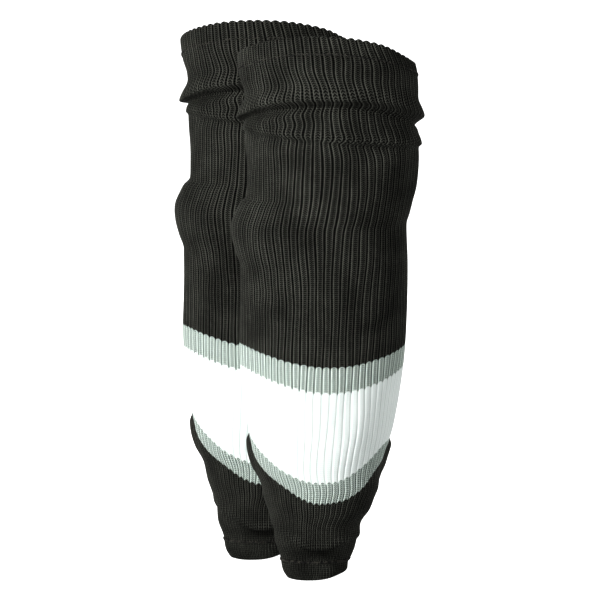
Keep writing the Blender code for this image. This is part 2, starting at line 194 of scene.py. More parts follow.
def skin_point(turn, course, depth, unit, slack_knit=1.0):
    """The skin at an angle round the leg, in radians, and a height in mm, moved in by a depth in mm.
    An ellipse through the front, back and side curves, then bulges, tucks and folds along its normal.
    The folds belong to slack knit: the guard's own parts take none of them."""
    front, back, side = (eased(course, curve) for curve in (FRONT, BACK, SIDE))
    middle, half = (front + back) / 2, (back - front) / 2
    facing = (1 + np.cos(turn)) / 2
    bulge = eased(course, KNEE_BULGE) * facing**3

    # The lip: the knit turns in below the shin shell's edge and stands a little proud over it.
    lip = lip_height(turn)
    sideways = np.sin(turn) ** 2
    below = ramp((lip - course) / 2) * ramp((course - 10) / 20)
    out = (0.8 + 1.7 * sideways) * hump(course - lip - 3.5, 4) - (2 + 4.6 * sideways) * below

    # The tucks in front and behind, each with a shallow valley beside it.
    out = out + 7.4 * turn_hump(turn, -15, 10) * eased(course, FRONT_TUCK)
    out = out + 7.6 * turn_hump(turn, 194, 10) * eased(course, BACK_TUCK)
    out = out - 1.5 * turn_hump(turn, 6, 6) * hump(course - 142, 20)
    out = out - 1.2 * turn_hump(turn, 173, 6) * hump(course - 138, 16)

    # The folds: a ridge, a crease under it and a second ridge, fullest in front. Their knit hangs down a
    # little over what is below, and so does the knit over the lip.
    front_side = turn_hump(turn, 0, 36)
    back_side = turn_hump(turn, 180, 40)
    near_side = turn_hump(turn, 92, 34)
    upper, crease, lower = (fold_height(turn, *fold) for fold in (UPPER_FOLD, CREASE, LOWER_FOLD))
    ridge = 3.6 + 7.2 * front_side + 4.2 * back_side + 2.6 * near_side
    reach = np.where(course > upper, 9, 9 - 3 * front_side - 2 * back_side)
    out = out + ridge * hump(course - upper, reach)
    out = out - (4.8 - 2.6 * front_side - 1.2 * back_side + 2.2 * near_side) * hump(course - crease, 3.6)
    out = out + (3 + back_side) * hump(course - lower, np.where(course > lower, 8, 3.5))
    drop = (1.6 + 5.6 * front_side + 2 * back_side + 3.6 * near_side) * hump(course - upper - 0.5, 6)
    drop = drop + (0.5 + 2.2 * sideways) * hump(course - lip - 2, 3) + 1.8 * hump(course - lower - 0.5, 4)

    # Fine wrinkles below the knee, pulls over the calf, and the soft unevenness of slack knit.
    wrinkle = np.sin((course + 44.2 * turn) / 7.5) * hump(course - 322, 26) * turn_hump(turn, 55, 26)
    crossing = np.sin((course - 22 * turn) / 6.5) * hump(course - 295, 22) * turn_hump(turn, 130, 22)
    pull = np.sin(turn * 17 + course / 60) * hump(course - 195, 34) * turn_hump(turn, 118, 26)
    out = out + wrinkle + 0.8 * crossing + 0.6 * pull
    slack = np.sin(turn * 4 + course / 33) + 0.7 * np.sin(turn * 7 - course / 21 + 1.3)
    out = out + 0.6 * slack * (1 + hump(course - 470, 60) - 0.5 * hump(course - 300, 60))

    # The ellipse's point, moved out along its normal.
    out = bulge + slack_knit * out - depth
    drop = slack_knit * drop
    across = np.hypot(np.cos(turn) / half, np.sin(turn) / side)
    x = middle - (half + out / half / across) * np.cos(turn)
    y = -(side + out / side / across) * np.sin(turn)
    place = np.stack((x, y, course - drop), axis=-1) + UNITS[unit]
    return place * MM


# The knit's finish: polyester yarn in three colours, matt and a little hairy. Each rib shows the two legs of
# its V stitches, one V to a course, and the groove between two ribs shows one dark eye to a course. The dark of
# the grooves, the eyes and the rib's middle is painted shade: the gap colour stands in for the shade in them.
def linear(code):
    """The linear colour of an sRGB hex code, opaque."""
    parts = [int(code[i : i + 2], 16) / 255 for i in (1, 3, 5)]
    return (*(c / 12.92 if c <= 0.04045 else ((c + 0.055) / 1.055) ** 2.4 for c in parts), 1.0)


def add(tree, kind, links=None, **settings):
    """Adds a node with its settings. Links give an input, by its name or its place, a value, another node's
    output, or another node, which stands for its first output."""
    made = tree.nodes.new(kind)
    for key, value in settings.items():
        setattr(made, key, value)
    for key, value in (links or {}).items():
        if isinstance(value, bpy.types.Node):
            value = value.outputs[0]
        if isinstance(value, bpy.types.NodeSocket):
            tree.links.new(value, made.inputs[key])
        else:
            made.inputs[key].default_value = value
    return made


def new_material(name, roughness, sheen=0.0, metallic=0.0, specular=0.5):
    """A material with its Principled shader's constants set."""
    made = bpy.data.materials.new(name)
    made.use_nodes = True
    shader = made.node_tree.nodes["Principled BSDF"]
    shader.inputs["Roughness"].default_value = roughness
    shader.inputs["Metallic"].default_value = metallic
    shader.inputs["Specular IOR Level"].default_value = specular
    shader.inputs["Sheen Weight"].default_value = sheen
    shader.inputs["Sheen Roughness"].default_value = 0.5
    return made, made.node_tree, shader


def knit_material(name, stitch, gap, mottle, roughness, specular, bump):
    """Rib knit on the UV map, where u counts wales and v counts courses. A rib's stitches lean up to its
    middle, its two edges show as rows of beads, one to a course, and the groove beside them as a row of eyes.
    The courses are drawn 2.3 mm high, where the real ones are 1.8 mm, so that they show."""
    smooth = "SMOOTHSTEP"
    made, tree, shader = new_material(name, roughness, specular=specular)
    parts = add(tree, "ShaderNodeSeparateXYZ", {0: add(tree, "ShaderNodeUVMap", uv_map="knit")})
    wale, course = parts.outputs[0], parts.outputs[1]
    place = add(tree, "ShaderNodeTexCoord").outputs["Object"]
    yarn = add(tree, "ShaderNodeTexNoise", {"Vector": place, "Scale": 700.0, "Detail": 2.0})
    broad = add(tree, "ShaderNodeTexNoise", {"Vector": place, "Scale": 28.0, "Detail": 3.0})
    # From 0 in the groove to 0.5 along the rib's middle, and from 0 between two courses to 0.5 in a course.
    aside = add(tree, "ShaderNodeMath", {0: wale, 1: 0.5}, operation="PINGPONG")
    level = add(tree, "ShaderNodeMath", {0: course, 1: 0.5}, operation="PINGPONG")
    # The legs of the V stitches, which climb 1.3 courses from the groove to the middle.
    lean = add(tree, "ShaderNodeMath", {0: aside, 1: -2.6, 2: course}, operation="MULTIPLY_ADD")
    leg = add(tree, "ShaderNodeMath", {0: lean, 1: 0.5}, operation="PINGPONG")
    leg = add(tree, "ShaderNodeMapRange", {0: leg, 1: 0.12, 2: 0.38, 3: 0.06, 4: 0.72}, interpolation_type=smooth)
    # The rib's middle, between the two legs, is dimmed: painted shade in the dip between them.
    centre = add(tree, "ShaderNodeMapRange", {0: aside, 1: 0.36, 2: 0.48, 3: 1.0, 4: 0.6})
    leg = add(tree, "ShaderNodeMath", {0: leg, 1: centre}, operation="MULTIPLY")
    # The beads along the rib's edges.
    edge = add(tree, "ShaderNodeMath", {0: aside, 1: 0.19}, operation="SUBTRACT")
    edge = add(tree, "ShaderNodeMath", {0: edge}, operation="ABSOLUTE")
    edge = add(tree, "ShaderNodeMapRange", {0: edge, 1: 0.03, 2: 0.11, 3: 1.0, 4: 0.0}, interpolation_type=smooth)
    bead = add(tree, "ShaderNodeMapRange", {0: level, 1: 0.0, 2: 0.3, 3: 0.25, 4: 1.0}, interpolation_type=smooth)
    bead = add(tree, "ShaderNodeMath", {0: edge, 1: bead}, operation="MULTIPLY")
    yarns = add(tree, "ShaderNodeMath", {0: leg, 1: bead}, operation="MAXIMUM")
    # The groove's eyes, dark between two courses: painted shade in the hollow of the groove.
    eye = add(tree, "ShaderNodeMapRange", {0: level, 1: 0.1, 2: 0.5, 3: 0.0, 4: 0.35})
    groove = add(tree, "ShaderNodeMapRange", {0: aside, 1: 0.04, 2: 0.15, 3: eye, 4: 1.0}, interpolation_type=smooth)
    height = add(tree, "ShaderNodeMath", {0: yarns, 1: groove}, operation="MULTIPLY")
    # The yarn is uneven, and in soft patches a few centimetres across the stitches show less.
    uneven = add(tree, "ShaderNodeMapRange", {0: yarn, 1: 0.3, 2: 0.7, 3: 0.7, 4: 1.25})
    tone = add(tree, "ShaderNodeMath", {0: height, 1: uneven}, operation="MULTIPLY", use_clamp=True)
    # The tone mixes the stitch colour, where the yarn stands up, with the gap colour, painted shade, where it sinks.
    colour = add(tree, "ShaderNodeMix", {0: tone, 6: linear(gap), 7: linear(stitch)}, data_type="RGBA")
    worn = add(tree, "ShaderNodeMapRange", {0: broad, 1: 0.35, 2: 0.7, 3: 0.0, 4: 0.45})
    colour = add(tree, "ShaderNodeMix", {0: worn, 6: colour.outputs[2], 7: linear(mottle)}, data_type="RGBA")
    tree.links.new(colour.outputs[2], shader.inputs["Base Color"])
    rough = add(tree, "ShaderNodeMath", {0: yarn, 1: 0.25, 2: height}, operation="MULTIPLY_ADD")
    normal = add(tree, "ShaderNodeBump", {"Strength": 1.0, "Distance": bump * MM, "Height": rough})
    tree.links.new(normal.outputs[0], shader.inputs["Normal"])
    return made


# Each colour's stitches, its gaps between them and its soft patches. The gaps' dark colours are painted shade.
# Black yarn's pale stitch colour is a painted sheen of its polyester fibres; its own gloss is the weakest of the
# three.
KNIT = {
    "black_knit": knit_material("rib knit, black polyester", "#666761", "#010101", "#060606", 0.75, 0.04, 1.6),
    "grey_knit": knit_material("rib knit, grey polyester", "#EAF5EE", "#48534E", "#AAB5AE", 0.9, 0.1, 0.7),
    "white_knit": knit_material("rib knit, white polyester", "#F0F5F3", "#D0D9D6", "#E8EDEB", 0.9, 0.1, 0.3),
}


# The sock's bands, from the ankle up. Knitting changes yarn at a course, so that each band ends in a row of
# small arches, one to a rib, and the next one starts in them. The bands hug the leg at a slant.
def arched(wale):
    """The rise of a colour change above its course, in mm: a round arch on each rib."""
    return 3.2 * (np.abs(np.sin(np.pi * wale)) ** 0.8 - 0.6)


def stepped(wale):
    """A count of wales that changes mostly in the grooves, so that a slanted edge climbs rib by rib."""
    return wale + 0.85 / math.tau * np.sin(math.tau * wale)


# The feet of the two slanted colour changes: an angle in degrees from the front, and a height in mm.
LOWER_STRIPE_FOOT = (
    (-24, 150), (-13, 166), (-5, 163.5), (4, 157), (12, 148), (20, 138), (33, 126), (50, 113.5), (70, 98),
    (90, 90.5), (111, 93), (132, 106.5), (143, 117), (156, 129), (165, 135), (173, 146), (180, 153),
    (192, 157.5), (204, 147), (216, 132), (230, 117), (250, 97), (270, 90), (290, 97), (310, 114), (326, 132),
    (336, 150),
)
BAND_FOOT = (
    (-24, 158), (-13, 168.5), (4, 165), (15, 160.5), (33, 147.5), (49, 135.5), (67, 122), (78, 116.5),
    (90, 114.5), (104, 115.5), (114, 119.5), (133, 134.5), (144, 145), (156, 154), (166, 157.5), (180, 159),
    (192, 160.5), (204, 156), (216, 148), (230, 135), (250, 119), (270, 114), (290, 119), (310, 134), (326, 147),
    (336, 158),
)


def slanted(stations):
    """An edge that follows stations of an angle in degrees and a height."""
    return lambda turn: eased((np.degrees(turn) + 24) % 360 - 24, stations)


# Every band's edges, as heights in mm by the angle. The foot is cut higher behind, and the rim dips there.
EDGES = {
    "foot": lambda turn: 8.5 * ((1 - np.cos(turn)) / 2) ** 3,
    "ankle_hem_top": lambda turn: 22 + 0 * turn,
    "lower_stripe_foot": slanted(LOWER_STRIPE_FOOT),
    "band_foot": slanted(BAND_FOOT),
    "upper_stripe_foot": lambda turn: 241.5 - 24 * np.sin(turn - 0.12) ** 2,
    "upper_stripe_top": lambda turn: 266.5 - 20 * np.sin(turn - 0.12) ** 2,
    "hem_foot": lambda turn: fold_height(turn, 569.5, 1.5, 22.5, 8),
    "rim": lambda turn: fold_height(turn, 589.5, 1.5, 22.5, 8) - 6.5 * turn_hump(turn, 168, 26),
}
# The mesh has six columns to a wale, and five rows over a rounded end.
COLUMNS = 6 * WALES
ROUND_ROWS = 5


def knit_tube(name, unit, low, high, pitch, wall, arches):
    """A closed tube of knit between two edges: rows up its outside, over the top, down its inside and under.
    The columns follow the wales. The sock's foot and its rim are half circles across the wall, and the other
    ends are flat. Pitch is the rows' spacing in mm, or two spacings with the height between them. Arches says
    how much of its arches each end shows."""
    wale = np.arange(COLUMNS) * (WALES / COLUMNS)
    step = stepped(wale) * math.tau / WALES
    foot, top = (EDGES[edge](step) + arched(wale) * arch for edge, arch in zip((low, high), arches))
    round_foot, round_top = low == "foot", high == "rim"
    radius = wall / 2
    lowest, highest = foot + radius * round_foot, top - radius * round_top
    first, last = lowest.mean(), highest.mean()
    if isinstance(pitch, tuple):
        coarse, change, fine = pitch
        levels = np.concatenate((
            np.linspace(first, change, round((change - first) / coarse) + 1)[:-1],
            np.linspace(change, last, round((last - change) / fine) + 1),
        ))
    else:
        levels = np.linspace(first, last, max(2, round((last - first) / pitch)) + 1)
    share = (levels - first) / (last - first)
    outer = lowest + np.outer(share, highest - lowest)
    inner_share = share[::-2] if len(share) % 2 else np.append(share[::-2], 0)
    inner = lowest + np.outer(inner_share, highest - lowest)
    swing = np.linspace(0, np.pi, ROUND_ROWS + 2)[1:-1, None]
    none = np.empty((0, COLUMNS))
    over = highest + radius * np.sin(swing) if round_top else none
    under = lowest - radius * np.sin(swing) if round_foot else none
    arc = radius * (1 - np.cos(swing))
    course = np.concatenate((outer, over, inner, under))
    depth = np.concatenate((
        np.zeros((len(outer), 1)),
        arc if round_top else arc[:0],
        np.full((len(inner), 1), wall),
        arc[::-1] if round_foot else arc[:0],
    ))
    groove = RIB_RELIEF * (1 - crest(wale)) * (1 - 0.5 * depth / wall)
    rows = len(course)
    point = skin_point(turn_of(wale, course, unit), course, depth + groove, unit)
    made = new_grid(name, point.reshape(-1, 3), rows, COLUMNS)
    lay_uv(made, np.broadcast_to(wale, course.shape), course / COURSE, WALES)
    sharp = []
    if not round_top:
        sharp += [len(outer) - 1, len(outer)]
    if not round_foot:
        sharp += [0, rows - 1]
    mark_sharp(made, sharp)
    return made


def new_object(name, data):
    """An object at the origin for a mesh, a light or a camera."""
    made = bpy.data.objects.new(name, data)
    bpy.context.scene.collection.objects.link(made)
    return made


def new_grid(name, points, rows, columns):
    """A mesh of a grid of points that closes on itself both ways, with its quads in row order."""
    row, column = np.divmod(np.arange(rows * columns), columns)
    here, above = row * columns, (row + 1) % rows * columns
    beside = (column + 1) % columns
    quads = np.stack((here + column, here + beside, above + beside, above + column), axis=1)
    mesh = bpy.data.meshes.new(name)
    mesh.vertices.add(len(points))
    mesh.vertices.foreach_set("co", points.astype(np.float32).ravel())
    mesh.loops.add(quads.size)
    mesh.loops.foreach_set("vertex_index", quads.astype(np.int32).ravel())
    mesh.polygons.add(len(quads))
    mesh.polygons.foreach_set("loop_start", np.arange(0, quads.size, 4, dtype=np.int32))
    mesh.update(calc_edges=True)
    mesh.validate()
    mesh.shade_smooth()
    return new_object(name, mesh)


def lay_uv(made, u, v, around):
    """The UV map of a closed grid. The last column's far side is at around, and the last row's upper side is
    at the first row's v."""
    far_u = np.concatenate((u[:, 1:], np.full((len(u), 1), float(around))), axis=1)
    next_v = np.roll(v, -1, axis=0)
    far_v, far_next_v = np.roll(v, -1, axis=1), np.roll(next_v, -1, axis=1)
    across, up = np.stack((u, far_u, far_u, u), axis=2), np.stack((v, far_v, far_next_v, next_v), axis=2)
    corners = np.stack((across, up), axis=-1)
    layer = made.data.uv_layers.new(name="knit")
    layer.data.foreach_set("uv", corners.astype(np.float32).ravel())


def mark_sharp(made, rows):
    """Marks the edges that run along the given rows of a tube, where an end face meets a side."""
    mesh = made.data
    ends = np.empty(len(mesh.edges) * 2, np.int32)
    mesh.edges.foreach_get("vertices", ends)
    a, b = (ends.reshape(-1, 2) // COLUMNS).T
    flags = (a == b) & np.isin(a, rows)
    layer = mesh.attributes.new("sharp_edge", "BOOLEAN", "EDGE")
    layer.data.foreach_set("value", flags)


def band_length(low, high, unit):
    """The length round the middle of a band, and its mean height, in metres."""
    turn = np.linspace(0, math.tau, 361)
    foot, top = EDGES[low](turn), EDGES[high](turn)
    line = skin_point(turn, (foot + top) / 2, 0, unit)
    return np.linalg.norm(np.diff(line, axis=0), axis=1).sum(), (top - foot).mean() * MM


# Each band's foot and top, its rows' spacing, its wall, the arches it shows at each end, the nodes it stands
# for and its yarn.
BANDS = (
    ("ankle_hem", "foot", "ankle_hem_top", 2.0, 5.0, (0, 0), ("ankle_hem",), "black_knit"),
    ("ankle_knit", "ankle_hem_top", "lower_stripe_foot", 2.2, KNIT_WALL, (0, 1), ("sock_ankle",), "black_knit"),
    ("lower_stripe", "lower_stripe_foot", "band_foot", 2.6, KNIT_WALL, (1, 1), ("sock_lower_stripe",), "grey_knit"),
    ("white_band", "band_foot", "upper_stripe_foot", 2.6, KNIT_WALL, (1, 1), ("sock_band",), "white_knit"),
    ("upper_stripe", "upper_stripe_foot", "upper_stripe_top", 2.6, KNIT_WALL, (1, 1), ("sock_upper_stripe",),
     "grey_knit"),
    ("upper_knit", "upper_stripe_top", "hem_foot", (3.4, 470, 1.7), KNIT_WALL, (1, 0),
     ("sock_calf", "sock_knee", "sock_thigh"), "black_knit"),
    ("top_hem", "hem_foot", "rim", 2.0, 5.0, (0, 0.7), ("top_hem",), "black_knit"),
)
for unit in UNITS:
    for band, low, high, pitch, wall, arches, nodes, slot in BANDS:
        made = knit_tube(f"{unit}_knitted_{band}", unit, low, high, pitch, wall, arches)
        made.data.materials.append(KNIT[slot])
        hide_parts(*(f"{unit}_{node}" for node in nodes))
        round_it, tall = band_length(low, high, unit)
        if band == "upper_knit":
            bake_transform(made)
        else:
            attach(made, unit + ("_thigh" if band == "top_hem" else "_shin"))


# The thread that closes both hems: a chain stitch in black yarn, looped once to each half rib, sunk a little
# in the knit. The ankle hem's loops show as a row of small links above the sock's foot.
def tube_round(name, path, radius, sides):
    """A closed tube of a thread: circles across a closed path, held square to it and to the way up."""
    along = np.roll(path, -1, axis=0) - np.roll(path, 1, axis=0)
    along /= np.linalg.norm(along, axis=1, keepdims=True)
    across = np.cross(along, (0, 0, 1.0))
    across /= np.linalg.norm(across, axis=1, keepdims=True)
    upward = np.cross(across, along)
    swing = -np.arange(sides) * math.tau / sides
    ring = across[:, None] * np.cos(swing)[:, None] + upward[:, None] * np.sin(swing)[:, None]
    points = path[:, None] + radius * ring
    return new_grid(name, points.reshape(-1, 3), len(path), sides)


LOOPS = 2 * WALES
LOOP_POINTS = 8
THREAD_RADIUS = 0.42
# Each seam's edge, how far above it in mm the thread runs, and its body.
SEAMS = (("ankle_hem", "ankle_hem_top", -0.5, "_shin"), ("top_hem", "hem_foot", 1.0, "_thigh"))
# Spun polyester is matt, and lighter lengths a few millimetres long show where a link catches the light.
yarn, yarn_tree, yarn_shader = new_material("sewing thread, black polyester", 0.7, specular=0.4)
place = add(yarn_tree, "ShaderNodeTexCoord").outputs["Object"]
grain = add(yarn_tree, "ShaderNodeTexNoise", {"Vector": place, "Scale": 240.0, "Detail": 2.0})
grain = add(yarn_tree, "ShaderNodeMapRange", {0: grain, 1: 0.42, 2: 0.62})
tint = add(yarn_tree, "ShaderNodeMix", {0: grain, 6: linear("#060606"), 7: linear("#484640")}, data_type="RGBA")
yarn_tree.links.new(tint.outputs[2], yarn_shader.inputs["Base Color"])
for unit in UNITS:
    for hem, edge, rise, body in SEAMS:
        turn = np.arange(LOOPS * LOOP_POINTS) * math.tau / (LOOPS * LOOP_POINTS)
        loop = turn * LOOPS
        course = EDGES[edge](turn) + rise + 1.3 * np.sin(loop)
        groove = RIB_RELIEF * (1 - crest(WALES * turn / math.tau))
        depth = 0.5 * groove - 0.35 + 0.3 * np.cos(loop)
        path = skin_point(turn + 0.006 * np.sin(2 * loop), course, depth, unit)
        made = tube_round(f"{unit}_{hem}_stitch", path, THREAD_RADIUS * MM, 5)
        made.data.materials.append(yarn)
        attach(made, unit + body)


# The guard's hard shells: a shin shell, a knee cup and a thigh shell, injection moulded in black polyethylene
# with thin round edges. Two flutes stiffen each long shell, and the cup flexes at three cross grooves.
def plate(name, outer, inner):
    """A closed plate between two grids of points of one size, which share the points of their border."""
    rows, columns = outer.shape[:2]
    border = np.ones((rows, columns), bool)
    border[1:-1, 1:-1] = False
    outer = np.where(border[..., None], (outer + inner) / 2, outer)
    front = np.arange(rows * columns).reshape(rows, columns)
    back = front.copy()
    back[1:-1, 1:-1] = rows * columns + np.arange((rows - 2) * (columns - 2)).reshape(rows - 2, columns - 2)
    quads = [
        np.stack((grid[:-1, :-1], grid[:-1, 1:], grid[1:, 1:], grid[1:, :-1]), axis=-1).reshape(-1, 4)
        for grid in (front, back)
    ]
    quads[1] = quads[1][:, ::-1]
    mesh = bpy.data.meshes.new(name)
    points = np.concatenate((outer.reshape(-1, 3), inner[1:-1, 1:-1].reshape(-1, 3)))
    mesh.from_pydata(points.tolist(), [], np.concatenate(quads).tolist())
    mesh.shade_smooth()
    return new_object(name, mesh)


def from_border(share, size, edge):
    """How near full thickness is at a share of a side of a size in mm: a quarter circle over an edge's width."""
    inward = np.clip(np.minimum(share, 1 - share) * size / edge, 0, 1)
    return np.sqrt(1 - (1 - inward) ** 2)


def shares(count, size, edge):
    """Shares of a side, with three close rows at each end for a rounded edge of a width in mm."""
    close = np.array((0, 0.12, 0.45, 1.0)) * edge / size
    return np.concatenate((close, np.linspace(close[-1], 1 - close[-1], count)[1:-1], 1 - close[::-1]))


# The leg's mean radius in mm, which turns an angle into a width.
LEG_RADIUS = 85


def wrapped(name, unit, first, last, low, high, depth, wall, edge, counts, relief=None):
    """A plate wrapped on the leg from one angle to another, in degrees, and between two edges in mm, rounded
    over an edge's width. The relief is a function of the shares across and up, and takes depths in mm off the
    outer face and the inner one."""
    width = math.radians(last - first) * LEG_RADIUS
    across = shares(counts[0], width, edge)
    tall = float(np.mean(high(0) - low(0)))
    up = shares(counts[1], tall, edge)[:, None]
    turn = np.radians(first + (last - first) * across)[None, :] + 0 * up
    middle = (turn - math.radians((first + last) / 2)) / math.radians((last - first) / 2)
    course = low(middle) + (high(middle) - low(middle)) * up
    full = from_border(across[None, :], width, edge) * from_border(up, tall, edge)
    sunk_out, sunk_in = relief(across[None, :], up) if relief else (0, 0)
    half = wall / 2 * full
    outer = skin_point(turn, course, depth + wall / 2 - half + sunk_out * full, unit, 0)
    inner = skin_point(turn, course, depth + wall / 2 + half - sunk_in * full, unit, 0)
    return plate(name, outer, inner)


def bowed(height, change):
    """An edge at a height in mm in the middle that changes towards both sides."""
    return lambda middle: height + change * np.asarray(middle, float) ** 2


def plastic(name, colour, glint, roughness, grain_size):
    """Moulded plastic: a spark-eroded grain, paler and duller scuffs a few centimetres apart, and an even
    sheen. The grain's size is in mm, coarser than a mould's real grain of about 0.1 mm, so that it shows."""
    made, tree, shader = new_material(name, roughness, specular=0.45)
    at = add(tree, "ShaderNodeTexCoord").outputs["Object"]
    grain = add(tree, "ShaderNodeTexNoise", {"Vector": at, "Scale": 1000 / grain_size, "Detail": 2.0})
    scuff = add(tree, "ShaderNodeTexNoise", {"Vector": at, "Scale": 45.0, "Detail": 6.0, "Distortion": 1.2})
    where = add(tree, "ShaderNodeMapRange", {0: scuff, 1: 0.55, 2: 0.75})
    tint = add(tree, "ShaderNodeMix", {0: where, 6: linear(colour), 7: linear(glint)}, data_type="RGBA")
    tree.links.new(tint.outputs[2], shader.inputs["Base Color"])
    dull = add(tree, "ShaderNodeMapRange", {0: scuff, 1: 0.4, 2: 0.8, 3: roughness, 4: roughness + 0.2})
    tree.links.new(dull.outputs[0], shader.inputs["Roughness"])
    normal = add(tree, "ShaderNodeBump", {"Strength": 0.6, "Distance": 0.08 * MM, "Height": grain})
    tree.links.new(normal.outputs[0], shader.inputs["Normal"])
    return made


def flutes(across, up):
    """Two long flutes, 1.1 mm deep and rounded, that stop short of the shell's ends."""
    ends = ramp(np.minimum(up, 1 - up) / 0.16 - 0.4)
    sunk = 1.1 * ends * (hump(across - 0.36, 0.045) + hump(across - 0.64, 0.045))
    return sunk, -sunk


def slotted(across, up):
    """Three short cross grooves over the knee, 1 mm deep, where the cup flexes."""
    sunk = sum(hump(up - spot, 0.03) for spot in (0.26, 0.5, 0.74)) * ramp(1.6 - abs(across - 0.5) * 6)
    return sunk, -sunk


shell_plastic = plastic("moulded polyethylene, black", "#1B1B1D", "#3A3A3D", 0.36, 0.6)
# The angle to each side of the front that every shell reaches, in degrees, and its round edge's width in mm.
SHELL_REACH = 75
SHELL_EDGE = 1.6


def shin_foot(middle):
    """The shin shell's lower edge, 3 mm above the lip that the knit makes under it."""
    return lip_height(math.radians(SHELL_REACH) * np.asarray(middle, float)) + 3


# Each shell's body, its foot and top, its depth under the skin and its wall in mm, its rows and its relief.
SHELLS = (
    ("shin_shell", "_shin", shin_foot, bowed(322, -8), 5.6, 2.5, (46, 60), flutes),
    ("knee_cup", "_kneecap", bowed(338, 18), bowed(442, -18), 8.0, 3.0, (46, 34), slotted),
    ("thigh_shell", "_thigh", bowed(456, 4), bowed(552, -22), 8.6, 2.5, (46, 34), flutes),
)
for unit in UNITS:
    for name, body, low, high, depth, wall, counts, relief in SHELLS:
        made = wrapped(f"{unit}_{name}_moulding", unit, -SHELL_REACH, SHELL_REACH, low, high, depth, wall,
                       SHELL_EDGE, counts, relief)
        made.data.materials.append(shell_plastic)
        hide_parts(f"{unit}_{name}")
        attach(made, unit + body)


# The hinge arms: flat bars of the same polyethylene beside the knee, one behind another on a rivet. Each runs
# from the pivot to the shell it carries, with its corners eased.
PIVOT = (36, 390)
ARM_HALF_WIDTH, ARM_WALL, ARM_EASE = 11, 2, 0.5
# Each arm's body, the distance of its inner face from the unit's middle, and its other end behind and up.
ARMS = (
    ("shin", "_shin", 60.8, (-24, 322)),
    ("cup", "_kneecap", 63.4, (-22, 390)),
    ("thigh", "_thigh", 66.0, (-4, 476)),
)


def bar_points(end, inner_face, side):
    """The outline of a bar with round ends at four levels through its wall, the outer two drawn in to ease the
    corners: half a turn of rays round each end's centre."""
    start, end = np.array(PIVOT, float), np.array(end, float)
    way = (end - start) / np.linalg.norm(end - start)
    normal = np.array((-way[1], way[0]))
    swing = np.linspace(-np.pi / 2, np.pi / 2, 17)
    rays = np.stack((np.cos(swing), np.sin(swing)), 1) @ np.stack((way, normal))
    centre = np.repeat((end, start), len(swing), axis=0)
    ray = np.concatenate((rays, -rays))
    levels = []
    for face, inset in ((0, ARM_EASE), (ARM_EASE, 0), (ARM_WALL - ARM_EASE, 0), (ARM_WALL, ARM_EASE)):
        flat = centre + ray * (ARM_HALF_WIDTH - inset)
        y = np.full(len(flat), -side * (inner_face + face))
        levels.append(np.stack((flat[:, 0], y, flat[:, 1]), axis=1))
    return np.concatenate(levels)


def arm(name, unit, inner_face, end, side):
    """A bar as four rings of points, with its two faces closed and all of them turned outwards."""
    points = (bar_points(end, inner_face, side) + UNITS[unit]) * MM
    count = len(points) // 4
    here = np.arange(count)
    after = (here + 1) % count
    faces = [here[::-1].tolist(), (3 * count + here).tolist()]
    for ring in (0, count, 2 * count):
        wall = np.stack((ring + here, ring + after, ring + count + after, ring + count + here), axis=1)
        faces += wall.tolist()
    if side < 0:
        faces = [face[::-1] for face in faces]
    mesh = bpy.data.meshes.new(name)
    mesh.from_pydata(points.tolist(), [], faces)
    return new_object(name, mesh)


for unit in UNITS:
    for name, body, face, end in ARMS:
        for side, where in ((1, "near"), (-1, "far")):
            made = arm(f"{unit}_{name}_arm_{where}", unit, face, end, side)
            made.data.materials.append(shell_plastic)
            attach(made, unit + body)


# The rivets: plated steel with domed heads, two at the knee's pivots and two through the calf wings. Tumbling
# leaves them evenly bright, with fine specks where the plating is a little duller.
steel, steel_tree, steel_shader = new_material("zinc-plated steel, tumbled", 0.28, metallic=1.0)
at = add(steel_tree, "ShaderNodeTexCoord").outputs["Object"]
speck = add(steel_tree, "ShaderNodeTexNoise", {"Vector": at, "Scale": 1400.0, "Detail": 3.0})
tint = add(steel_tree, "ShaderNodeMix", {0: speck, 6: linear("#A9AAAC"), 7: linear("#D4D5D6")}, data_type="RGBA")
steel_tree.links.new(tint.outputs[2], steel_shader.inputs["Base Color"])
dull = add(steel_tree, "ShaderNodeMapRange", {0: speck, 1: 0.3, 2: 0.8, 3: 0.22, 4: 0.42})
steel_tree.links.new(dull.outputs[0], steel_shader.inputs["Roughness"])
for unit in UNITS:
    for rivet in ("knee_rivet_outer", "knee_rivet_inner", "wing_rivet_outer", "wing_rivet_inner"):
        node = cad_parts[f"{unit}_{rivet}"]
        node.data.materials.clear()
        node.data.materials.append(steel)


# The padding: foam in brushed tricot, quilted into channels. The shin liner runs down the whole shin and round
# to the calf, and smaller pads sit behind the knee cup and inside the thigh shell.
def quilted(columns, rows, deep):
    """Sewn channels: narrow valleys along the lines between the given numbers of columns and rows, a depth in
    mm at most, with a soft crown between them. The outer face, against the shell, sinks by a third as much."""
    def relief(across, up):
        """The depths off the outer face and the inner one, in mm, at shares across and up."""
        lines = [hump(across - spot, 0.016) for spot in np.linspace(0, 1, columns + 1)[1:-1]]
        lines += [hump(up - spot, 0.02) for spot in np.linspace(0, 1, rows + 1)[1:-1]]
        valley = np.maximum.reduce([line + 0 * across + 0 * up for line in lines])
        pillow = np.abs(np.sin(np.pi * columns * across) * np.sin(np.pi * rows * up)) ** 0.4
        sunk = deep * np.maximum(valley, 0.45 * (1 - pillow))
        return 0.35 * sunk, sunk
    return relief


